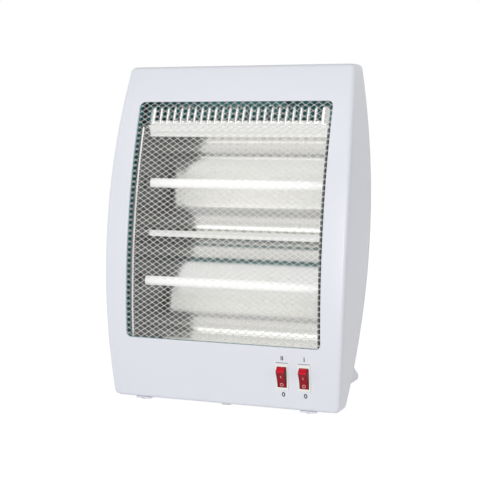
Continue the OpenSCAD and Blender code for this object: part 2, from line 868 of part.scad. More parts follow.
// Side view of a rocker about its pivot, half way between off and on
module rocker_outline() {
    tip = [-rocker_r * sin(rocker_corner), rocker_r * cos(rocker_corner)];
    dish = 0.7;
    dish_r = (tip[1] * tip[1] + dish * dish) / (2 * dish);
    difference() {
        union() {
            intersection() {
                circle(rocker_r, $fn = 96);
                translate([-2 * rocker_r, -rocker_r]) square([2 * rocker_r - 1.2, 2 * rocker_r]);
            }
            circle(3);
        }
        translate([tip[0] + dish - dish_r, 0]) circle(dish_r, $fn = fine);
    }
}

module rocker(x) {
    color("red")
    at_switch(x)
    translate([0, pivot_y, 0]) rotate([rocker_rest, 0, 0])
    union() {
        along_x(-rocker_w / 2, rocker_w) rocker_outline();
        x_pin(-body_sw_w / 2 + 0.2, body_sw_w - 0.4, [0, 0], trunnion_r);
    }
}

module switch_terminals() {
    color("gold")
    for (x = switch_xs)
        at_switch(x)
            for (z = [-6, 6])
                translate([0, body_sw_d + blade_out - blade_l / 2, z])
                    difference() {
                        cube([blade_w, blade_l, blade_t], center = true);
                        translate([0, 3, 0]) cylinder(h = 3, r = 0.8, center = true);
                    }
}

module tip_switch_body() {
    base = tip_floor + tip_boss_h + seat;
    color("dimgray")
    difference() {
        union() {
            translate([-tip_body_w / 2, tip_y - tip_body_d / 2, tip_floor + seat])
                cube([tip_body_w, tip_body_d, chamber_top + 2 - tip_floor]);
            translate([-tip_ear_x - tip_ear_d / 2, tip_y - tip_ear_d / 2, base])
                cube([2 * tip_ear_x + tip_ear_d, tip_ear_d, tip_ear_t]);
        }
        translate([0, tip_y, 0]) cylinder(h = chamber_top, r = plunger_r + run_fit);
        translate([0, tip_y, tip_floor + 4.6])
            cylinder(h = chamber_top - tip_floor - 4.6, r = chamber_r);
        for (s = [-1, 1])
            translate([s * tip_ear_x, tip_y, 0]) cylinder(h = 40, r = screw_r + 0.3);
    }
}

module tip_plunger() {
    color("white")
    union() {
        translate([0, tip_y, 0]) cylinder(h = 1.9, r = plunger_foot_r);
        translate([0, tip_y, 0]) cylinder(h = chamber_top - 1.5, r = plunger_r);
        translate([0, tip_y, collar_z]) cylinder(h = collar_h, r = chamber_r - fit);
    }
}

module tip_switch_screws() {
    color("silver")
    for (s = [-1, 1])
        translate([s * tip_ear_x, tip_y, tip_floor + tip_boss_h + 2 * seat + tip_ear_t])
            difference() {
                union() {
                    translate([0, 0, -tip_screw_l]) cylinder(h = tip_screw_l + 0.5, r = screw_r);
                    cylinder(h = 2, r = screw_head_r - 0.4);
                }
                translate([0, 0, 2]) cube([3.6, 0.7, 2], center = true);
                translate([0, 0, 2]) cube([0.7, 3.6, 2], center = true);
            }
}

module terminal_block() {
    color("ivory")
    difference() {
        translate([block_x - block_w / 2, block_y + seat, block_z - block_h / 2])
            cube([block_w, block_d, block_h]);
        for (s = [-1, 1])
            y_pin(block_x + s * (block_w / 2 - 5), block_z, block_y - 1, 40, screw_r + 0.3);
        // Wire ways from above and below, with their clamp-screw holes
        for (i = [-1, 0, 1]) {
            translate([block_x + i * 8, block_y + block_d / 2, block_z - block_h])
                cylinder(h = 2 * block_h, r = 1.9);
            y_pin(block_x + i * 8, block_z + 4, block_y + block_d / 2, 20, 1.6);
        }
    }
}

module terminal_block_screws() {
    color("silver")
    for (s = [-1, 1])
        screw_y(block_x + s * (block_w / 2 - 5), block_z, block_y + block_d + 2 * seat, block_d + 5);
}

// Snap disc on the outside of the left end plate
module thermal_cutout() {
    at = cutout_at;
    color("gray")
    mirror_left("left")
    union() {
        x_pin(plate_x + seat, 1, at, 9);
        x_pin(plate_x + seat, 5.5, at, 7.5);
        for (s = [-1, 1])
            translate([plate_x + 7, at[0] - 0.4, at[1] + s * 4 - 1.6]) cube([3.8, 0.8, 3.2]);
        for (s = [-1, 1])
            translate([plate_x + 5, at[0] - 2, at[1] + s * 4 - 2.4]) cube([2.5, 4, 4.8]);
    }
}

// Insulated lead: straight runs with round bends through the given points
module lead(route) {
    for (i = [0:len(route) - 2]) {
        run = route[i + 1] - route[i];
        turn = atan2(run[1], run[0]);
        tilt = acos(run[2] / norm(run));
        translate(route[i]) rotate([0, tilt, turn]) cylinder(h = norm(run), r = lead_r);
    }
    for (i = [1:len(route) - 2])
        translate(route[i]) sphere(lead_r + 0.15);
}

module leads() {
    top = tube_high;
    low = tube_low;
    side = lead_x;
    behind = 3 + lead_r + seat;
    under = win_z0 - 14;
    block_top = block_z + block_h / 2 - 4;
    block_way_y = block_y + seat + block_d / 2;
    tip_top = chamber_top + tip_floor + 0.1;
    color("firebrick")
    union() {
        // Common side: both left tube terminals, then the cut-out, then the block
        lead([[-side, top[0] - behind, top[1]], [-side, low[0] - behind, low[1]]]);
        lead([
            [-side, top[0] + behind, top[1]], [-side, top[0] + behind, cutout_at[1] + 26],
            [-side, cutout_at[0], cutout_at[1] + 12], [-side, cutout_at[0], cutout_at[1] + 2.6]
        ]);
        lead([
            [-side, cutout_at[0], cutout_at[1] - 2.6], [-side, cutout_at[0], under + 16],
            [-side + 10, cutout_at[0] - 6, under], [block_x - 8, block_way_y, under],
            [block_x - 8, block_way_y, block_top]
        ]);
        // Each right tube terminal to the upper blade of its switch
        lead([
            [side, top[0] + behind, top[1]], [side, top[0] + behind, under + 12],
            [side - 7, blade_up[0], under], [switch_xs[1], blade_up[0], blade_up[1]]
        ]);
        lead([
            [side, low[0] + behind, low[1]], [side, low[0] + behind, under + 16],
            [side - 7, blade_up[0] + 6, under + 1], [switch_xs[0] + 6, blade_up[0] + 6, under + 1],
            [switch_xs[0], blade_up[0], blade_up[1]]
        ]);
        // Lower blades in line, then through the tip-over switch to the block
        lead([
            [switch_xs[1], blade_low[0], blade_low[1]],
            [switch_xs[0] - blade_w, blade_low[0], blade_low[1]],
            [24, tip_y, tip_top + 10], [6, tip_y, tip_top + 8], [6, tip_y, tip_top]
        ]);
        lead([
            [-6, tip_y, tip_top], [-6, tip_y, tip_top + 5],
            [block_x + 8, block_way_y, tip_top + 5], [block_x + 8, block_way_y, block_z - 4]
        ]);
    }
}

module cord_bush() {
    color("dimgray")
    difference() {
        union() {
            y_pin(bush_x, bush_z, bush_y + seat, 2.5, bush_seat_r - fit);
            y_pin(bush_x, bush_z, bush_y - 9, 11, bush_r);
            y_pin(bush_x, bush_z, bush_y - 9, 2, bush_r + 0.6);
        }
        y_pin(bush_x, bush_z, bush_y - 20, 40, cord_r);
    }
}

module cover_screws() {
    color("silver")
    for (p = cover_screws)
        for (s = [-1, 1])
            screw_y(s * p[0], p[1], cover_seat(p[1]) + seat, 11);
}

// Side view of a foot's fin: behind the back, from the floor up to where it meets the back
module fin_outline() {
    d = heel - [foot_top_y, foot_h];
    // Direction square to the top edge, which runs on into the round of the heel
    up = atan2(d[1], d[0]) + asin(heel_r / norm(d)) + 90;
    polygon([
        [foot_top_y, foot_h], heel + 0.98 * heel_r * [cos(up), sin(up)], heel,
        heel - [0, heel_r], [y_back - heel_kick + heel_slope, heel_up - heel_r],
        [y_back - heel_kick, sole_z], [fin_y0, sole_z], [fin_y0, foot_h]
    ]);
}

module foot_hollow() {
    y0 = rear_y(z_low + 12) + 2;
    y1 = y_back - heel_kick - 2 * (pad_r + foot_wall);
    z1 = foot_h - 16;
    polygon([[y0, -1], [y0, 12], [rear_y(z1) + foot_wall + 1, z1], [y1 - 6, 14], [y1, -1]]);
}

module foot(side) {
    x0 = foot_x - foot_w;
    color("white")
    mirror_left(side)
    difference() {
        union() {
            difference() {
                union() {
                    along_x(x0, foot_w) fin_outline();
                    x_pin(x0, foot_w, heel, heel_r);
                }
                inside_back(rear_r + back_gap);
            }
            // Sole under the shell
            translate([x0, sole_y0, sole_z])
                cube([foot_w, fin_y0 + 14 - sole_y0, z_low - seat - sole_z]);
        }
        difference() {
            along_x(x0 + foot_wall, foot_w - 2 * foot_wall) foot_hollow();
            inside_back(rear_r + back_gap + foot_wall);
        }
        for (y = pad_ys)
            translate([foot_cx, y, -1]) cylinder(h = 1 + pad_t - 0.4, r = pad_r + seat);
        for (x = foot_screw_xs)
            translate([x, foot_screw_y, -1]) {
                cylinder(h = foot_screw_l, r = screw_r + 0.3);
                cylinder(h = 2.4, r = screw_head_r + 0.2);
            }
    }
}

module foot_screws() {
    color("silver")
    for (s = [-1, 1])
        for (x = foot_screw_xs)
            translate([s * x, foot_screw_y, 0.7])
                difference() {
                    union() {
                        cylinder(h = 0.6, r = screw_head_r);
                        cylinder(h = foot_screw_l, r = screw_r);
                    }
                    cube([3.4, 0.7, 0.6], center = true);
                    cube([0.7, 3.4, 0.6], center = true);
                }
}

module foot_pads() {
    color("dimgray")
    for (s = [-1, 1])
        for (y = pad_ys)
            translate([s * foot_cx, y, 0]) cylinder(h = pad_t - 0.5, r = pad_r);
}

front_housing();
rear_cover();
guard_mesh();
guard_frame();
reflector();
end_plate("left");  // end_plate_left
end_plate("right");  // end_plate_right
chassis_screws();
quartz_tube(tube_high);  // quartz_tube_upper
quartz_tube(tube_low);  // quartz_tube_lower
heating_coil(tube_high);  // heating_coil_upper
heating_coil(tube_low);  // heating_coil_lower
cap("left", tube_high);  // cap_upper_left
cap("right", tube_high);  // cap_upper_right
cap("left", tube_low);  // cap_lower_left
cap("right", tube_low);  // cap_lower_right
tube_terminals();
switch_body(switch_xs[0]);  // switch_body_1
switch_body(switch_xs[1]);  // switch_body_2
rocker(switch_xs[0]);  // rocker_1
rocker(switch_xs[1]);  // rocker_2
switch_terminals();
tip_switch_body();
tip_plunger();
tip_switch_screws();
terminal_block();
terminal_block_screws();
thermal_cutout();
cord_bush();
leads();
cover_screws();
foot("left");  // foot_left
foot("right");  // foot_right
foot_screws();
foot_pads();
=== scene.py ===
"""A free-standing electric bar heater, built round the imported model."""
from math import asin, atan2, ceil, copysign, cos, floor, hypot, pi, radians, sin, sqrt

import bmesh
import bpy
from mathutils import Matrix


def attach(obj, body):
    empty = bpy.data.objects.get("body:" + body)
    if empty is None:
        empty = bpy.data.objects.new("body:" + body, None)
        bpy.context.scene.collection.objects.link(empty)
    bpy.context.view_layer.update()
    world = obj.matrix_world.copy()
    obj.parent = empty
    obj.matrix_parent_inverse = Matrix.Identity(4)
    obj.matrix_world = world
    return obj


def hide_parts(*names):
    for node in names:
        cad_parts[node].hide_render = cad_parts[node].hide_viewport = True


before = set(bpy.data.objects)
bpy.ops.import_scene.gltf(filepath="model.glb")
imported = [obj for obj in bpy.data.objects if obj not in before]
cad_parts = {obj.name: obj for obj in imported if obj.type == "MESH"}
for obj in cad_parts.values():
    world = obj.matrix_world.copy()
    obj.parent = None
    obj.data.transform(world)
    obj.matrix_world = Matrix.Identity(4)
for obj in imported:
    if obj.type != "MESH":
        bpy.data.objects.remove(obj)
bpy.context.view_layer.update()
MM = 0.001

# Camera: to the right of the heater and a little above its middle, looking slightly
# down, with a long lens.
camera = bpy.data.objects.new("camera", bpy.data.cameras.new("camera"))
camera.data.sensor_width = 36
camera.data.lens = 93.03
camera.location = (0.5047, -1.2806, 0.3016)
camera.rotation_euler = (radians(90 - 5.35), 0, radians(21.87))
bpy.context.scene.collection.objects.link(camera)
bpy.context.scene.camera = camera
bpy.context.scene.view_settings.view_transform = "Standard"


# Studio: a white floor that keeps the heater's shadow, a soft lamp in front of it near
# the camera, one at the upper left that the slotted strip mirrors, a weak one behind,
# and a white room with a greyer ceiling round them.
class Value:
    """A number, colour or vector in a shader, which Python's operators work on."""

    def __init__(self, finish, socket):
        self.finish, self.socket = finish, socket

    def _math(self, operation, first, second):
        return self.finish.node("Math", {"operation": operation}, {0: first, 1: second})

    def __add__(self, other): return self._math("ADD", self, other)
    def __radd__(self, other): return self._math("ADD", other, self)
    def __sub__(self, other): return self._math("SUBTRACT", self, other)
    def __rsub__(self, other): return self._math("SUBTRACT", other, self)
    def __mul__(self, other): return self._math("MULTIPLY", self, other)
    def __rmul__(self, other): return self._math("MULTIPLY", other, self)
    def __pow__(self, other): return self._math("POWER", self, other)
    def __rpow__(self, other): return self._math("POWER", other, self)
    def __gt__(self, other): return self._math("GREATER_THAN", self, other)
    def __lt__(self, other): return self._math("LESS_THAN", self, other)


class Finish:
    """A material, or the world, made node by node. A plain value that is set first
    stays behind a link that is set later, for viewers that read no nodes."""

    def __init__(self, name, shader="BsdfPrincipled", kind="Material", **sockets):
        made_in = bpy.data.worlds if kind == "World" else bpy.data.materials
        self.material = made_in.new(name)
        self.material.use_nodes = True
        self.tree = self.material.node_tree
        self.tree.nodes.clear()
        self.shader = self.tree.nodes.new("ShaderNode" + shader)
        self.output = self.tree.nodes.new("ShaderNodeOutput" + kind)
        self.tree.links.new(self.shader.outputs[0], self.output.inputs[0])
        self.set(**sockets)

    def node(self, kind, settings, sockets, out=0):
        """Any node: its type, its settings, its sockets' values or links, its output."""
        made = self.tree.nodes.new("ShaderNode" + kind)
        for key, value in settings.items():
            if key == "stops":
                ramp = made.color_ramp.elements
                for i, (place, colour) in enumerate(value):
                    stop = ramp[i] if i < 2 else ramp.new(place)
                    stop.position, stop.color = place, (*colour, 1)
            else:
                setattr(made, key, value)
        for key, value in sockets.items():
            self._put(made.inputs[key], value)
        return Value(self, made.outputs[out])

    def _put(self, socket, value):
        if isinstance(value, Value):
            self.tree.links.new(value.socket, socket)
        elif isinstance(value, tuple) and len(value) == 3 and socket.type == "RGBA":
            socket.default_value = (*value, 1)
        else:
            socket.default_value = value

    def set(self, **sockets):
        for key, value in sockets.items():
            self._put(self.shader.inputs[key.replace("_", " ")], value)
        return self

    def place(self):
        return self.node("TexCoord", {}, {}, "Object")

    def part(self, axis):
        return self.node("SeparateXYZ", {}, {0: self.place()}, axis)

    def noise(self, scale, detail=2, stretch=(1, 1, 1)):
        where = self.node("VectorMath", {"operation": "MULTIPLY"}, {0: self.place(), 1: stretch})
        return self.node("TexNoise", {}, {"Vector": where, "Scale": scale, "Detail": detail})

    def mix(self, factor, first, second):
        return self.node("Mix", {"data_type": "RGBA"}, {0: factor, 6: first, 7: second}, 2)

    def bump(self, height, strength, distance):
        sockets = {"Height": height, "Strength": strength, "Distance": distance}
        return self.node("Bump", {}, sockets)


def link(name, data):
    made = bpy.data.objects.new(name, data)
    bpy.context.scene.collection.objects.link(made)
    return made


def seen_directly(finish):
    """1 where the camera, a mirror or a clear piece shows the surface, else 0."""
    rays = [finish.node("LightPath", {}, {}, f"Is {kind} Ray")
            for kind in ("Camera", "Glossy", "Transmission")]
    return finish.node("Clamp", {}, {"Value": rays[0] + rays[1] + rays[2]})


floor_half = 3
floor_mesh = bpy.data.meshes.new("floor")
floor_corners = [(x * floor_half, y * floor_half, 0)
                 for x, y in ((-1, -1), (1, -1), (1, 1), (-1, 1))]
floor_mesh.from_pydata(floor_corners, [], [(0, 1, 2, 3)])
floor_piece = link("floor", floor_mesh)
floor_white = Finish("floor_white", Base_Color=(0.5, 0.5, 0.5), Roughness=0.9,
                     Specular_IOR_Level=0.0, Emission_Strength=1.0)
thrown_back, shown = (0.18, 0.18, 0.18), (0.8, 0.8, 0.8)
floor_white.set(Emission_Color=floor_white.mix(seen_directly(floor_white), thrown_back, shown))
floor_mesh.materials.append(floor_white.material)

wall_light, wall_white, ceiling_grey = 0.66, (1, 1, 1), (0.5, 0.5, 0.5)
room = Finish("room", "Background", "World")
height = room.node("SeparateXYZ", {}, {0: room.node("TexCoord", {}, {}, "Generated")}, 2)
ceiling = room.node("MapRange", {}, {"Value": height, "From Min": 0.53, "From Max": 0.68})
room.set(Color=room.mix(ceiling, wall_white, ceiling_grey),
         Strength=wall_light + seen_directly(room) * (1 - wall_light))
bpy.context.scene.world = room.material


def lamp(name, place, aim, size, power):
    """A square area lamp at a place, turned to face a point."""
    made = link(name, bpy.data.lights.new(name, "AREA"))
    made.data.size = size
    made.data.energy = power
    made.location = place
    x, y, z = (a - b for a, b in zip(aim, place))
    made.rotation_euler = (pi / 2 + atan2(z, hypot(x, y)), 0, atan2(-x, y))


lamp("key", (0.15, -2.1, 0.45), (0, 0, 0.2), 0.8, 14.8)
lamp("upper_left", (-0.75, -1.9, 1.8), (0, 0, 0.3), 1.0, 5)
lamp("back", (1.3, 1.9, 1.3), (0, 0, 0.2), 1.4, 5)


# Front housing: one deep moulding of glossy white plastic, with a curved, leaning
# front, sides that bow out a little, and a window whose edge is slightly rounded.
wall = 2.4
edge_r, corner_r, rim_r = 4, 5, 3
half_width, side_bow = 138, 7.7
shell_low, shell_high = 2.5, 364.5
nose_y, front_r, front_cz = -80.7834, 639.935, 102.880
rear_cy, rear_r, rear_cz = -456.3281, 470.5448, 244.5
window_x, window_z0, window_z1, window_r = 111.5, 69.5, 325.5, 5.5
field_x, field_z0, field_z1 = 119.5, 61.5, 333.5
lip_r = 0.9
switch_z, switch_xs = 38.2, (69.5, 94.0)
switch_half_w, switch_half_h = 6.35, 13.0
quarter_turn = [pi / 2 * i / 8 for i in range(9)]


def front_at(z, depth=0.0):
    """How far forward the front is at a height, or a surface at a depth behind it."""
    return nose_y + front_r - sqrt((front_r - depth) ** 2 - (z - front_cz) ** 2)


def rear_at(z, depth=0.0):
    """Where the side walls end at the rear, or a surface that far inside their ends."""
    return rear_cy + sqrt((rear_r - depth) ** 2 - (z - rear_cz) ** 2)


def half_at(z):
    """Half the width between the bowed sides."""
    return half_width - side_bow * (2 * (z - shell_low) / (shell_high - shell_low) - 1) ** 2


def ease(d, r):
    """How far a rounded edge of radius r draws in at a distance d from its end."""
    return 0.0 if d >= r else r - sqrt(max(0.0, r * r - (r - d) ** 2))


def runs(stops, step):
    """Places from the first stop to the last, through every stop, at most a step apart."""
    made = [stops[0]]
    for a, b in zip(stops, stops[1:]):
        count = max(1, ceil((b - a) / step - 1e-6))
        made += [a + (b - a) * i / count for i in range(1, count + 1)]
    return made


def piece(name, points, faces, smooth=True):
    """An object made of a mesh in millimetres, with its faces turned outwards."""
    mesh = bpy.data.meshes.new(name)
    mesh.from_pydata([(x * MM, y * MM, z * MM) for x, y, z in points], [], faces)
    solid = bmesh.new()
    solid.from_mesh(mesh)
    bmesh.ops.recalc_face_normals(solid, faces=solid.faces)
    solid.to_mesh(mesh)
    solid.free()
    if smooth:
        mesh.polygons.foreach_set("use_smooth", [True] * len(mesh.polygons))
        mesh.set_sharp_from_angle(angle=radians(32))
    return link(name, mesh)


class Skin:
    """Points and faces of a mesh under construction; a point is kept once."""

    def __init__(self):
        self.points, self.faces, self.seen = [], [], {}

    def at(self, p):
        key = tuple(round(v, 4) for v in p)
        if key not in self.seen:
            self.seen[key] = len(self.points)
            self.points.append(p)
        return self.seen[key]

    def face(self, *corners):
        ids = []
        for p in corners:
            i = self.at(p)
            if i not in ids:
                ids.append(i)
        if len(ids) > 2:
            self.faces.append(ids)

    def band(self, a, b, closed=False):
        """Quads between two rows of points."""
        n = len(a)
        for i in range(n if closed else n - 1):
            j = (i + 1) % n
            self.face(a[i], a[j], b[j], b[i])


def outline(xs, zs):
    """The points round a grid of columns and rows, from its lower left corner."""
    return ([(x, zs[0]) for x in xs[:-1]] + [(xs[-1], z) for z in zs[:-1]]
            + [(x, zs[-1]) for x in reversed(xs[1:])] + [(xs[0], z) for z in reversed(zs[1:])])


# Rows and columns of the front; they are denser near the corners of the window
dense_run, dense_step, row_step, column_step = 13.5, 2.7, 4, 6
held_x, side_gap = 104, 1.5
middle_rows = runs([shell_low + corner_r, switch_z - switch_half_h, switch_z + switch_half_h]
                   + runs([field_z0, field_z0 + dense_run], dense_step)
                   + runs([field_z1 - dense_run, field_z1], dense_step)
                   + [shell_high - corner_r], row_step)
switch_stops = sorted(x + s * switch_half_w for x in switch_xs for s in (-1, 1))
outer_stops = runs([field_x - dense_run, field_x], dense_step)
column_stops = runs([-x for x in reversed(outer_stops)] + switch_stops + outer_stops,
                    column_step)


def shell_rows(inset):
    """The heights of the shell's outer skin, or of its inner one at the wall's depth."""
    r = corner_r - inset
    turns = [r - r * cos(a) for a in quarter_turn]
    return ([shell_low + inset + t for t in turns] + middle_rows[1:-1]
            + [shell_high - inset - t for t in reversed(turns)])


def shell_cut(z, inset, side_steps=7):
    """One level of the shell, from the rear left round the front to the rear right."""
    gap = min(z - shell_low, shell_high - z) - inset
    w = half_at(z) - inset - ease(gap, corner_r - inset)
    setback = ease(gap, max(0.2, rim_r - inset))
    y = front_at(z) + inset + setback
    r = edge_r - inset
    rear = rear_at(z) - setback
    reach = min(field_x, w - r - side_gap)
    left = [(-w, rear + (y + r - rear) * i / side_steps, z) for i in range(side_steps)]
    left += [(-w + r - r * cos(a), y + r - r * sin(a), z) for a in quarter_turn]
    flat = []
    for x in column_stops:
        beyond = abs(x) - held_x
        if beyond > 0:
            x = copysign(held_x + beyond * (reach - held_x) / (field_x - held_x), x)
        flat.append((x, y, z))
    return left + flat + [(-x, y, z) for x, y, z in reversed(left)]


def in_switch(x, z):
    """Inside the opening of a switch."""
    beside = min(abs(x - s) for s in switch_xs)
    return beside < switch_half_w and abs(z - switch_z) < switch_half_h


def in_field(x, z):
    """Inside the oblong that the window and its edge are cut from."""
    return abs(x) < field_x and field_z0 < z < field_z1


def within(stops, low, high, slack=0.01):
    """The rows or columns that lie between two limits, with the limits themselves."""
    return [stop for stop in stops if low - slack < stop < high + slack]


def window_point(x, z, out):
    """The point of the window's outline that lies under a point of the field's edge."""
    cx = max(-window_x + window_r, min(window_x - window_r, x))
    cz = max(window_z0 + window_r, min(window_z1 - window_r, z))
    d = hypot(x - cx, z - cz)
    return cx + (x - cx) / d * (window_r + out), cz + (z - cz) / d * (window_r + out)


housing = Skin()
layers = {}
for inset in (0.0, wall):
    rows = shell_rows(inset)
    cuts = layers[inset] = [shell_cut(z, inset) for z in rows]
    for low, high in zip(cuts, cuts[1:]):
        for j in range(len(low) - 1):
            x = (low[j][0] + low[j + 1][0]) / 2
            z = (low[j][2] + high[j][2]) / 2
            if not (in_field(x, z) or in_switch(x, z)):
                housing.face(low[j], low[j + 1], high[j + 1], high[j])
    housing.faces.append([housing.at(p) for p in cuts[0]])
    housing.faces.append([housing.at(p) for p in cuts[-1]])

# Rear rim, rounded outside; each step says how far it is inside and behind the skin
rims = []
for inset, back in ((0.0, 0.0), (0.25, 0.55), (0.8, 0.8), (wall - 0.3, 0.8), (wall, 0.0)):
    ring = []
    for z in shell_rows(inset):
        end = shell_cut(z, inset)[0]
        ring.append((end[0], end[1] + back, z))
    rims.append(ring + [(-x, y, z) for x, y, z in reversed(ring)])
for a, b in zip(rims, rims[1:]):
    housing.band(a, b, closed=True)

# Window edge, rounded in front; each step says how far it is outside the opening and how deep
edge = outline(column_stops, within(middle_rows, field_z0, field_z1))
edge_steps = [(4.5, 0.0), (2.2, 0.0)]
edge_steps += [(lip_r * (1 - sin(a)), lip_r * (1 - cos(a))) for a in quarter_turn[::2]]
edge_steps += [(0.0, wall - 0.3), (0.3, wall), (4.5, wall)]
rings = [[(x, front_at(z), z) for x, z in edge]]
for out, depth in edge_steps:
    flat = [window_point(x, z, out) for x, z in edge]
    rings.append([(x, front_at(z) + depth, z) for x, z in flat])
rings.append([(x, front_at(z) + wall, z) for x, z in edge])
for a, b in zip(rings, rings[1:]):
    housing.band(a, b, closed=True)

# Walls of the switch openings
for sx in switch_xs:
    loop = outline(within(column_stops, sx - switch_half_w, sx + switch_half_w),
                   within(middle_rows, switch_z - switch_half_h, switch_z + switch_half_h))
    housing.band([(x, front_at(z), z) for x, z in loop],
                 [(x, front_at(z) + wall, z) for x, z in loop], closed=True)

shell = piece("front_shell", housing.points, housing.faces)
white_plastic = Finish("white_plastic", Roughness=0.3, IOR=1.5)
grain = white_plastic.noise(2600, 2)
cool_white, cooler_white = (0.80, 0.815, 0.875), (0.82, 0.835, 0.895)
white_plastic.set(
    Base_Color=white_plastic.mix(white_plastic.noise(14, 3), cool_white, cooler_white),
    Roughness=0.27 + white_plastic.noise(90, 3) * 0.08,
    Normal=white_plastic.bump(grain, 0.06, 0.0002))
shell.data.materials.append(white_plastic.material)
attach(shell, "heater")
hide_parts("front_housing")


# Guard mesh: expanded steel sheet, white enamelled, curved like the front and held
# against the inside of the window by the frame.
mesh_depth, mesh_t = 2.9, 0.4
cell_w, cell_h = 9.5, 5.9
hole_w, hole_h, hole_flat = 8.5, 5.2, 0.4
mesh_x, mesh_zc, mesh_z = 120.0, (window_z0 + window_z1) / 2, 135.0
twist = -0.3


def hole(m, n):
    """The six corners of a gap, each with how far it stands back from the sheet."""
    x, z = m * cell_w / 2, mesh_zc + n * cell_h / 2
    side, high = hole_w / 2, hole_h / 2
    corners = {"right": (side, 0, 0), "left": (-side, 0, 0),
               "up_right": (hole_flat, high, -twist), "up_left": (-hole_flat, high, -twist),
               "low_right": (hole_flat, -high, twist), "low_left": (-hole_flat, -high, twist)}
    return {key: (x + a, front_at(z + b, mesh_depth + c), z + b)
            for key, (a, b, c) in corners.items()}


def thicken(sheet, name, thickness, offset=0):
    """Gives a sheet its gauge: behind its faces at offset -1, half each way at 0."""
    made = sheet.modifiers.new(name, "SOLIDIFY")
    made.thickness, made.offset = thickness * MM, offset


net = Skin()
last_m, last_n = floor(2 * mesh_x / cell_w), floor(2 * mesh_z / cell_h)
holes = {(m, n): hole(m, n) for m in range(-last_m, last_m + 1)
         for n in range(-last_n, last_n + 1) if (m + n) % 2 == 0}
for (m, n), h in holes.items():
    rise, fall = holes.get((m + 1, n + 1)), holes.get((m + 1, n - 1))
    if rise:
        net.face(h["right"], rise["low_left"], rise["left"], h["up_right"])
    if fall:
        net.face(h["low_right"], fall["left"], fall["up_left"], h["right"])
    far = holes.get((m + 2, n))
    if rise and fall and far:
        net.face(h["right"], rise["low_left"], rise["low_right"], far["left"])
        net.face(h["right"], far["left"], fall["up_right"], fall["up_left"])
guard = piece("guard_net", net.points, net.faces, smooth=False)
thicken(guard, "sheet", mesh_t, -1)
white_enamel = Finish("white_enamel", Base_Color=(0.86, 0.86, 0.86), Roughness=0.35)
white_enamel.set(Roughness=0.31 + white_enamel.noise(220, 3) * 0.08)
guard.data.materials.append(white_enamel.material)
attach(guard, "heater")
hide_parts("guard_mesh")


# Rear cover and guard frame: moulded teal plastic with a satin skin. Screws hold the
# cover to the shell, and the frame presses the net against it.
teal_plastic = Finish("teal_plastic", Base_Color=(0.05, 0.33, 0.32), Roughness=0.45)
teal_plastic.set(Normal=teal_plastic.bump(teal_plastic.noise(2200, 2), 0.1, 0.0003))
for node in ("rear_cover", "guard_frame"):
    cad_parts[node].data.materials.clear()
    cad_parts[node].data.materials.append(teal_plastic.material)


# Reflector: two troughs and a slotted strip above them, pressed from polished aluminium
# sheet, with a folded lip below. It hangs between the end plates.
lean = atan2(48, 362)
ridge_y, ridge_z = -40.8171, 182.45
tube_pitch, trough_d, rim_out = 108.4913, 34.0, 1.8
trough_sag = {"upper": 0.7, "lower": 2.5}
flat_h, flat_more, ledge_rise = 4.5, 1.0, 2.0
trough_half = (tube_pitch - flat_h) / 2
trough_r = (trough_half ** 2 + (trough_d + rim_out) ** 2) / (2 * (trough_d + rim_out))
sheet_t = 0.8
trough_x, strip_x, trough_end, trough_column = 106.2, 111.5, 0.3, 12
lip_z, lip_drop, lip_gap = 63.5, 5, 10.8
strip_z0, strip_z1, strip_gap, strip_run, strip_row = 300.5, 321.5, 12, 6, 1.5
slot_count, slot_pitch, slot_w, slot_z0 = 24, 8.17, 4, 307.0
lip_fold, ledge_fold, crease_fold, strip_fold = 0.8, 0.6, 0.4, 0.5


def at_lean(v, u):
    """A place in side view: v runs back from the ridge and u up along the lean."""
    return ridge_y + v * cos(lean) + u * sin(lean), ridge_z - v * sin(lean) + u * cos(lean)


tube_places = {"upper": at_lean(0, tube_pitch / 2), "lower": at_lean(0, -tube_pitch / 2)}


def trough_side(level, low_rise=0.0, steps=56):
    """One trough in side view, from its lower rim to its upper rim, level with its tube."""
    y, z = tube_places[level]
    z -= trough_sag[level]
    low, high = asin((low_rise - trough_half) / trough_r), asin(trough_half / trough_r)
    turns = [low + (high - low) * i / steps for i in range(steps + 1)]
    return [(y + trough_d - trough_r + trough_r * cos(a), z + trough_r * sin(a)) for a in turns]


def bend(before, fold, after, radius, steps=3):
    """A fold, rounded: the points of a small arc between two straight runs."""
    ends = []
    for other in (before, after):
        d = hypot(other[0] - fold[0], other[1] - fold[1])
        ends.append([fold[k] + (other[k] - fold[k]) * radius / d for k in (0, 1)])
    arc = []
    for t in (i / steps for i in range(steps + 1)):
        shares = ((1 - t) ** 2, 2 * t * (1 - t), t * t)
        arc.append(tuple(shares[0] * ends[0][k] + shares[1] * fold[k] + shares[2] * ends[1][k]
                         for k in (0, 1)))
    return arc


lip_y = front_at(lip_z) + lip_gap
lip_low, lip_high = (lip_y, lip_z - lip_drop), (lip_y, lip_z)
strip_low = (front_at(strip_z0) + strip_gap, strip_z0)
strip_top = (front_at(strip_z1) + strip_gap, strip_z1)
lower, upper = trough_side("lower"), trough_side("upper", ledge_rise)
crease = (lower[-1][0], lower[-1][1] + flat_h + trough_sag["lower"])
flat_high = (upper[-1][0], upper[-1][1] + flat_h + flat_more + trough_sag["upper"])
side_view = [lip_low] + bend(lip_low, lip_high, lower[0], lip_fold)
side_view += bend(lip_high, lower[0], lower[1], ledge_fold) + lower[1:-1]
side_view += bend(lower[-2], lower[-1], crease, crease_fold)
side_view += bend(lower[-1], crease, upper[0], crease_fold)
side_view += bend(crease, upper[0], upper[1], crease_fold) + upper[1:-1]
side_view += bend(upper[-2], upper[-1], flat_high, crease_fold)
side_view += bend(upper[-1], flat_high, strip_low, strip_fold)
side_view += bend(flat_high, strip_low, strip_top, strip_fold)[:2]
sheet = Skin()
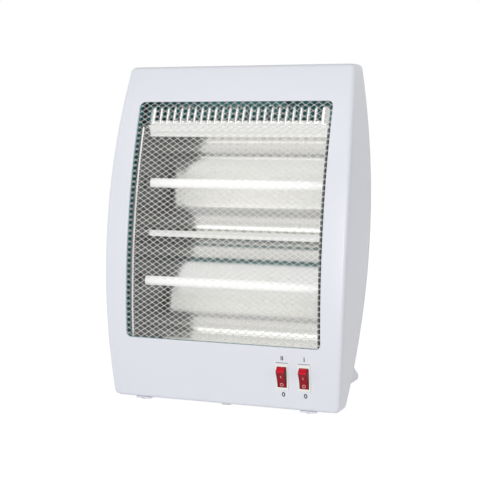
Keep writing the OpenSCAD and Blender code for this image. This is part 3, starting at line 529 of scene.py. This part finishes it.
columns = runs([-trough_x, trough_end - trough_x, trough_x - trough_end, trough_x],
               trough_column)
for a, b in zip(side_view, side_view[1:]):
    sheet.band([(x, *a) for x in columns], [(x, *b) for x in columns])


def on_strip(x, z):
    """A point of the slotted strip; above its top it runs on along the bent rear edge."""
    level = min(z, strip_z1)
    t = (level - strip_z0) / (strip_z1 - strip_z0)
    return x, strip_low[0] + (strip_top[0] - strip_low[0]) * t + max(0.0, z - strip_z1), level


strip_end, slot_end = strip_z1 + strip_run, strip_z1 + strip_run / 2
strip_rows = runs([strip_z0, slot_z0, slot_z0 + slot_w, strip_z1 - strip_fold, strip_z1,
                   strip_z1 + strip_fold, slot_end, strip_end], strip_row)
for i in range(slot_count):
    cx = (i - (slot_count - 1) / 2) * slot_pitch
    rim = outline([cx + slot_pitch * t for t in (-0.5, -0.25, 0, 0.25, 0.5)], strip_rows)
    slot = []
    for x, z in rim:
        core = max(slot_z0 + slot_w / 2, min(slot_end - slot_w / 2, z))
        d = hypot(x - cx, z - core)
        slot.append((cx + (x - cx) / d * slot_w / 2, core + (z - core) / d * slot_w / 2))
    sheet.band([on_strip(*p) for p in rim], [on_strip(*p) for p in slot], closed=True)
slots_end = slot_count * slot_pitch / 2
for side in (-1, 1):
    sheet.band([on_strip(side * slots_end, z) for z in strip_rows],
               [on_strip(side * strip_x, z) for z in strip_rows])
reflector = piece("reflector_sheet", sheet.points, sheet.faces)
for face in reflector.data.polygons:  # they look forward, and the gauge lies behind them
    if face.normal.y > 0:
        face.flip()
thicken(reflector, "gauge", sheet_t, -1)
polished = Finish("polished_aluminium", Base_Color=(0.84, 0.835, 0.815), Metallic=1.0,
                  Roughness=0.12)
rolled = polished.noise(60, 3, (0.15, 8, 8))
polished.set(Roughness=0.1 + rolled * 0.07, Normal=polished.bump(rolled, 0.04, 0.0004))
reflector.data.materials.append(polished.material)
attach(reflector, "heater")
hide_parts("reflector")


# End plates, thermal cut-out and screws: zinc-coated steel straight from the press, dull. On the
# plates and cut-out the zinc grey is darkened by painted shade, and the front lip of the left
# plate carries a painted highlight.
def dress(finish, *nodes):
    """Gives the model's own pieces their finish."""
    for node in nodes:
        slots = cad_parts[node].data.materials
        slots.clear()
        slots.append(finish.material)


zinc = Finish("zinc_steel", Metallic=0.7, Roughness=0.3)
spangle = zinc.noise(160, 3)
# Painted shade: the zinc grey of plates and cut-out is darkened to stand for the shade inside
# the housing.
shaded_zinc, painted_highlight = zinc.mix(spangle, (0.08, 0.09, 0.085), (0.17, 0.18, 0.17)), (0.9, 0.9, 0.88)
# Painted highlight: a thin near-white band along the front lip of the left plate stands for the
# light it catches.
lip_back, lip_shine = 7.5, 0.9
from_centre = (zinc.part(1) - (nose_y + front_r) * MM, zinc.part(2) - front_cz * MM)
distance = (from_centre[0] * from_centre[0] + from_centre[1] * from_centre[1]) ** 0.5
lit_lip = (distance > (front_r - lip_back - lip_shine) * MM) * (zinc.part(0) < 0)
zinc.set(Base_Color=zinc.mix(lit_lip, shaded_zinc, painted_highlight), Roughness=0.24 + spangle * 0.2)
dress(zinc, "end_plate_left", "end_plate_right", "thermal_cutout")
screw_zinc = Finish("screw_zinc", Base_Color=(0.62, 0.62, 0.64), Metallic=1.0, Roughness=0.28)
screw_zinc.set(Roughness=0.22 + screw_zinc.noise(900, 2) * 0.16)
dress(screw_zinc, "chassis_screws", "tip_switch_screws", "terminal_block_screws",
      "cover_screws", "foot_screws")


# Quartz tubes: frosted white tubes with a coiled resistance wire inside, held at each
# end in a ceramic cap that sits in the end plate.
tube_r, tube_bore, tube_end, tube_rim = 5.0, 4.0, 110.6, 0.4
cap_in, cap_out, plate_in = 101.6, 117.1, 106.2
cap_r, neck_r, socket_r, wire_hole_r, socket_gap = 7.0, 6.0, 5.05, 1.3, 0.1
coil_r, wire_r, coil_end, coil_pitch, lead_end = 2.35, 0.3, 104.0, 1.5, 123.1
lead_in, points_a_turn = 3, 12


def turned(name, outline, place, mirror=1, steps=48):
    """A closed outline of (x, radius), turned about a line along X."""
    y, z = place
    body = Skin()
    rings = [[(mirror * x, y + r * cos(2 * pi * i / steps), z + r * sin(2 * pi * i / steps))
              for i in range(steps)] for x, r in outline]
    for a, b in zip(rings, rings[1:] + rings[:1]):
        body.band(a, b, closed=True)
    return piece(name, body.points, body.faces)


def eased(x, radius, way):
    """The rounded corner of an outline, in the order in which the outline runs."""
    corner = [(x, radius - 0.7), (x + way * 0.2, radius - 0.2), (x + way * 0.7, radius)]
    return corner if way > 0 else corner[::-1]


glass_rim = [(tube_end - 0.5, tube_r), (tube_end - 0.15, tube_r - 0.12),
             (tube_end, tube_r - tube_rim), (tube_end, tube_bore + tube_rim),
             (tube_end - tube_rim, tube_bore)]
glass_outline = [(-x, radius) for x, radius in reversed(glass_rim[:-1])] + glass_rim
glass_outline.append((-glass_rim[-1][0], tube_bore))
cap_outline = [(cap_in, socket_r)] + eased(cap_in, cap_r, 1) + eased(plate_in, cap_r, -1)
cap_outline += [(plate_in, neck_r)] + eased(cap_out, neck_r, -1) + [(cap_out, wire_hole_r)]
cap_outline += [(tube_end + socket_gap, wire_hole_r), (tube_end + socket_gap, socket_r)]

# Painted light: the tubes carry a faint constant glow that stands for light passing through the
# frosted quartz.
frosted = Finish("frosted_quartz", Base_Color=(0.97, 0.97, 0.95), Roughness=0.42,
                 Emission_Color=(1, 1, 0.98), Emission_Strength=0.35)
frosted.set(Normal=frosted.bump(frosted.noise(1800, 2), 0.08, 0.0002),
            Roughness=0.38 + frosted.noise(60, 3, (0.3, 3, 3)) * 0.14)
ceramic = Finish("ceramic", Roughness=0.6)
dark_grey, grey = (0.10, 0.105, 0.105), (0.20, 0.20, 0.195)
ceramic.set(Base_Color=ceramic.mix(ceramic.noise(700, 4), dark_grey, grey),
            Normal=ceramic.bump(ceramic.noise(1500, 3), 0.2, 0.0003))
wire = Finish("resistance_wire", Base_Color=(0.3, 0.29, 0.28), Metallic=0.8, Roughness=0.4)
wire.set(Base_Color=wire.mix(wire.noise(500, 2), (0.24, 0.23, 0.22), (0.38, 0.36, 0.34)))
for level, place in tube_places.items():
    glass = turned("tube_" + level, glass_outline, place)
    glass.data.materials.append(frosted.material)
    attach(glass, "heater")
    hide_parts("quartz_tube_" + level)

    route = [(-lead_end, 0, 0), (-coil_end - lead_in, 0, 0)]
    for i in range(points_a_turn * int(2 * coil_end / coil_pitch) + 1):
        turn = i / points_a_turn
        route.append((-coil_end + coil_pitch * turn, coil_r * cos(2 * pi * turn),
                      coil_r * sin(2 * pi * turn)))
    route += [(coil_end + lead_in, 0, 0), (lead_end, 0, 0)]
    winding = bpy.data.curves.new("coil_" + level, "CURVE")
    winding.dimensions = "3D"
    winding.bevel_depth = wire_r * MM
    winding.bevel_resolution = 1
    line = winding.splines.new("POLY")
    line.points.add(len(route) - 1)
    for point, (x, y, z) in zip(line.points, route):
        point.co = (x * MM, (place[0] + y) * MM, (place[1] + z) * MM, 1)
    coil = link("coil_" + level, winding)
    winding.materials.append(wire.material)
    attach(coil, "heater")
    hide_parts("heating_coil_" + level)

    for side, mirror in (("left", -1), ("right", 1)):
        cap = turned(f"cap_{level}_{side}_turned", cap_outline, place, mirror)
        cap.data.materials.append(ceramic.material)
        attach(cap, "heater")
        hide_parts(f"cap_{level}_{side}")


# Terminals: brass. Round collars are crimped on the ends of the tubes' wires, and flat
# blades, stamped from strip, stick out of the backs of the switches.
brass = Finish("brass", Base_Color=(0.78, 0.62, 0.3), Metallic=1.0, Roughness=0.3)
brass.set(Roughness=0.24 + brass.noise(600, 3) * 0.2)
dress(brass, "tube_terminals", "switch_terminals")


# Rocker switches: a cream bezel and body snapped into the front, and a glossy,
# translucent red rocker with a pale I and O. Both stand at off.
tilt = -asin((switch_z - front_cz) / front_r)
bezel_w, bezel_h, bezel_t = 13.4, 27.7, 1.8
well_w, well_r, well_floor = 10.4, 12.1, 6.8
body_w, body_h, body_d = 12.4, 25.7, 17.0
pivot_y, rocker_r, rocker_w, dish = 2.8, 11.95, 10.0, 0.7
throw = radians(33)
corner = asin(4.6 / rocker_r) + throw / 2


def on_switch(sx, x, y, z):
    """A point of a switch: x right, y into the body and z up along the front."""
    return (sx + x, front_at(switch_z) + y * cos(tilt) - z * sin(tilt),
            switch_z + y * sin(tilt) + z * cos(tilt))


def rounded(w, h, r, steps=5):
    """An oblong with round corners."""
    made = []
    for cx, cz, start in ((1, 1, 0), (-1, 1, 90), (-1, -1, 180), (1, -1, 270)):
        for i in range(steps + 1):
            a = radians(start + 90 * i / steps)
            made.append((cx * (w / 2 - r) + r * cos(a), cz * (h / 2 - r) + r * sin(a)))
    return made


def well_h(y):
    """The height of the body's round well at a depth."""
    return 2 * sqrt(well_r ** 2 - (y - pivot_y) ** 2)


cream = Finish("cream_plastic", Base_Color=(0.94, 0.93, 0.87), Roughness=0.35)
cream.set(Normal=cream.bump(cream.noise(2400, 2), 0.06, 0.0002))
ruby = Finish("red_plastic", Roughness=0.12, IOR=1.49, Specular_IOR_Level=0.2)
# Painted shade and highlight: the rocker's sides and ends are painted dark red as shade, and its
# upper part a brighter red as a highlight.
face_half, top_face, high_end, low_end = 4.3, 5.4, 11.2, 10.9
off_middle = [ruby.node("Math", {"operation": "ABSOLUTE"}, {0: ruby.part(0) - x * MM})
              for x in switch_xs]
side_in_shade = (off_middle[0] > face_half * MM) * (off_middle[1] > face_half * MM)
lit_top = ruby.part(2) > (switch_z + top_face) * MM
end_in_shade = ((ruby.part(2) > (switch_z + high_end) * MM)
          + (ruby.part(2) < (switch_z - low_end) * MM))
shaded_edge = ruby.node("Clamp", {}, {"Value": side_in_shade + end_in_shade})
shade_red, red, highlight_red = (0.07, 0.0, 0.006), (0.32, 0.002, 0.012), (0.64, 0.006, 0.026)
ruby.set(Base_Color=ruby.mix(shaded_edge, ruby.mix(lit_top, red, highlight_red), shade_red),
         Roughness=0.1 + ruby.noise(300, 2) * 0.06)
pale = Finish("pale_ink", Base_Color=(0.85, 0.55, 0.55), Roughness=0.5)
pale.set(Roughness=0.45 + pale.noise(900, 2) * 0.1)

# Width, height, corner radius and depth of each ring, from the body's back round the bezel
# and down to the floor of the well
levels = [(body_w, body_h, 0.5, body_d), (body_w, body_h, 0.5, 0.0),
          (bezel_w, bezel_h, 0.9, 0.0), (bezel_w, bezel_h, 0.9, -bezel_t + 0.6),
          (bezel_w - 0.35, bezel_h - 0.35, 0.8, -bezel_t + 0.18),
          (bezel_w - 1.2, bezel_h - 1.2, 0.6, -bezel_t),
          (well_w + 0.7, well_h(-1.8) + 0.7, 0.5, -bezel_t),
          (well_w + 0.15, well_h(-1.7) + 0.15, 0.4, -bezel_t + 0.1)]
levels += [(well_w, well_h(y), 0.3, y) for y in (-1.4, 0.5, 2.8, 5.0, well_floor)]

# Side view of a rocker: its dished face, then round its back, past the hub in the middle
tip_y, tip_z = -rocker_r * sin(corner), rocker_r * cos(corner)
dish_r = (tip_z ** 2 + dish ** 2) / (2 * dish)
back_turn = asin(1.2 / rocker_r)
back_turns = [corner + (back_turn - corner) * i / 8 for i in range(9)]
hub = [(-1.2, 2.8), (0.9, 2.8), (2.6, 1.4)]


def face_y(z):
    """The depth of the rocker's dished face, before the rocker is turned to off."""
    return tip_y + dish - dish_r + sqrt(dish_r ** 2 - z * z)


rocker_side = [(face_y(z), z) for z in (tip_z * (i / 10 - 1) for i in range(21))]
rocker_side += [(-rocker_r * sin(a), rocker_r * cos(a)) for a in back_turns[1:]]
rocker_side += hub + [(y, -z) for y, z in reversed(hub)]
rocker_side += [(-rocker_r * sin(a), -rocker_r * cos(a)) for a in reversed(back_turns[1:])]


def soften(block, width, angle):
    """Rounds the edges of a moulding that are sharper than an angle in degrees."""
    made = block.modifiers.new("soften", "BEVEL")
    made.width, made.segments = width * MM, 3
    made.limit_method, made.angle_limit = "ANGLE", radians(angle)


unit_ring = [(cos(2 * pi * i / 28), sin(2 * pi * i / 28)) for i in range(28)]
sign_proud, sign_t = 0.06, 0.1
ring_z, ring_out, ring_in = -6.2, 1.9, 1.35
stroke_half, stroke_zs = 0.3, (1.6, 3.0, 4.6)

for number, sx in enumerate(switch_xs, 1):
    holder = Skin()
    rings = [[on_switch(sx, x, y, z) for x, z in rounded(w, h, r)] for w, h, r, y in levels]
    for a, b in zip(rings, rings[1:]):
        holder.band(a, b, closed=True)
    holder.face(*rings[0])
    holder.face(*rings[-1])
    bezel = piece(f"switch_frame_{number}", holder.points, holder.faces)
    bezel.data.materials.append(cream.material)
    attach(bezel, "heater")
    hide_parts(f"switch_body_{number}")

    def on_rocker(x, y, z):
        """A point of the rocker, turned to off about its pivot."""
        turn = throw / 2
        return on_switch(sx, x, pivot_y + y * cos(turn) - z * sin(turn),
                         y * sin(turn) + z * cos(turn))

    moulding = Skin()
    ends = [[on_rocker(x, y, z) for y, z in rocker_side] for x in (-rocker_w / 2, rocker_w / 2)]
    moulding.band(ends[0], ends[1], closed=True)
    moulding.face(*ends[0])
    moulding.face(*ends[1])
    rocker = piece(f"rocker_key_{number}", moulding.points, moulding.faces)
    soften(rocker, 0.35, 35)
    rocker.data.materials.append(ruby.material)
    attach(rocker, f"rocker_{number}")
    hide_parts(f"rocker_{number}")

    def on_face(x, z):
        """A point of the sign, just proud of the rocker's face."""
        return on_rocker(x, face_y(z) - sign_proud, z)

    signs = Skin()
    signs.band([on_face(ring_out * a, ring_z + ring_out * b) for a, b in unit_ring],
               [on_face(ring_in * a, ring_z + ring_in * b) for a, b in unit_ring], closed=True)
    for z0, z1 in zip(stroke_zs, stroke_zs[1:]):
        signs.band([on_face(x, z0) for x in (-stroke_half, stroke_half)],
                   [on_face(x, z1) for x in (-stroke_half, stroke_half)])
    sign = piece(f"rocker_sign_{number}", signs.points, signs.faces)
    thicken(sign, "pad", sign_t)
    sign.data.materials.append(pale.material)
    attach(sign, f"rocker_{number}")


# Printed signs: II and I over the switches and 0 under them, in dark grey ink that is
# pressed on with a pad and stands a few hundredths of a millimetre proud.
ink = Finish("grey_ink", Base_Color=(0.015, 0.015, 0.02), Roughness=0.5)
ink.set(Roughness=0.45 + ink.noise(900, 2) * 0.1)
print_proud, print_t = 0.03, 0.04
bar_half, bar_z0, bar_z1 = 0.5, 55.9, 60.4
zero_side, zero_z = 0.6, 19.0
zero_out, zero_in = (1.9, 2.55), (0.8, 1.45)
prints = Skin()


def on_front(x, z):
    """A point just proud of the front."""
    return x, front_at(z) - print_proud, z


for sx, bars in zip(switch_xs, ((-0.85, 0.85), (0,))):
    for x in bars:
        prints.band([on_front(sx + x + a, bar_z0) for a in (-bar_half, bar_half)],
                    [on_front(sx + x + a, bar_z1) for a in (-bar_half, bar_half)])
    ovals = [[on_front(sx + zero_side + w * a, zero_z + h * b) for a, b in unit_ring]
             for w, h in (zero_out, zero_in)]
    prints.band(ovals[0], ovals[1], closed=True)
printed = piece("printed_signs", prints.points, prints.faces)
thicken(printed, "film", print_t)
printed.data.materials.append(ink.material)
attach(printed, "heater")


# Painted shade over the switches: above each bezel a thin dark strip on the front stands for the
# shadow line of the gap between bezel and moulding.
painted_shadow_grey = Finish("painted_shadow_grey", Base_Color=(0.08, 0.12, 0.13), Roughness=0.6)
painted_shadow_grey.set(Roughness=0.55 + painted_shadow_grey.noise(900, 2) * 0.1)
shade_x0, shade_x1 = -6.7, 6.5
shade_z0, shade_z1 = switch_z + bezel_h / 2 + 0.75, switch_z + bezel_h / 2 + 1.35
shadow_strips = Skin()
for sx in switch_xs:
    shadow_strips.band([on_front(sx + a, shade_z0) for a in (shade_x0, shade_x1)],
                  [on_front(sx + a, shade_z1) for a in (shade_x0, shade_x1)])
shadow_line_piece = piece("painted_shadow_lines", shadow_strips.points, shadow_strips.faces)
thicken(shadow_line_piece, "film", print_t)
shadow_line_piece.data.materials.append(painted_shadow_grey.material)
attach(shadow_line_piece, "heater")


# Feet: two mouldings of the same white plastic with rounded edges, screwed under the
# shell. They reach back behind it, so that the leaning heater stands firmly.
foot_x0, foot_x1, foot_top, foot_gap, foot_step = 86.5, 104.5, 80.0, 0.3, 4.0
heel_y, heel_z, heel_r, heel_kick = 81.7166, 10.7, 3.5, 37.0
sole_z, sole_top, sole_y = 0.5, 2.4, -72.4538
top_y = rear_at(foot_top, -foot_gap)
kick_y = heel_y + heel_r - heel_kick
back_slope = atan2(heel_z - foot_top, heel_y - top_y)
heel_turn = back_slope + asin(heel_r / hypot(heel_y - top_y, heel_z - foot_top)) + pi
heights = [foot_top - foot_step * i for i in range(ceil((foot_top - sole_top) / foot_step))]
foot_side = [(rear_at(z, -foot_gap), z) for z in heights + [sole_top]]
foot_side += [(sole_y, sole_top), (sole_y, sole_z), (kick_y, sole_z),
              (kick_y + heel_z - heel_r - sole_z, heel_z - heel_r)]
foot_side += [(heel_y + heel_r * cos(a), heel_z + heel_r * sin(a))
              for a in (heel_turn * i / 10 - pi / 2 for i in range(11))]
for name, mirror in (("left", -1), ("right", 1)):
    block = Skin()
    ends = [[(mirror * x, y, z) for y, z in foot_side] for x in (foot_x0, foot_x1)]
    block.band(ends[0], ends[1], closed=True)
    block.face(*ends[0])
    block.face(*ends[1])
    foot = piece("foot_block_" + name, block.points, block.faces)
    soften(foot, 0.9, 40)
    foot.data.materials.append(white_plastic.material)
    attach(foot, "heater")
    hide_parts("foot_" + name)


# Small parts that keep the model's shapes: rubber pads under the feet, black mouldings
# for the tip switch and the cord's bush, the cream terminal block, the milky plunger
# and the leads in their pale sleeves.
rubber = Finish("rubber", Base_Color=(0.1, 0.1, 0.1), Roughness=0.75)
rubber.set(Normal=rubber.bump(rubber.noise(1500, 3), 0.3, 0.0003))
dress(rubber, "foot_pads")
black = Finish("black_plastic", Base_Color=(0.05, 0.05, 0.05), Roughness=0.45)
black.set(Normal=black.bump(black.noise(2200, 2), 0.15, 0.0003))
dress(black, "tip_switch_body", "cord_bush")
dress(cream, "terminal_block")
milk = Finish("plunger_plastic", Base_Color=(0.82, 0.82, 0.8), Roughness=0.4)
milk.set(Normal=milk.bump(milk.noise(2000, 2), 0.1, 0.0003))
dress(milk, "tip_plunger")
sleeve = Finish("lead_sleeve", Base_Color=(0.84, 0.83, 0.79), Roughness=0.5)
sleeve.set(Normal=sleeve.bump(sleeve.noise(1600, 2), 0.2, 0.0003))
dress(sleeve, "leads")
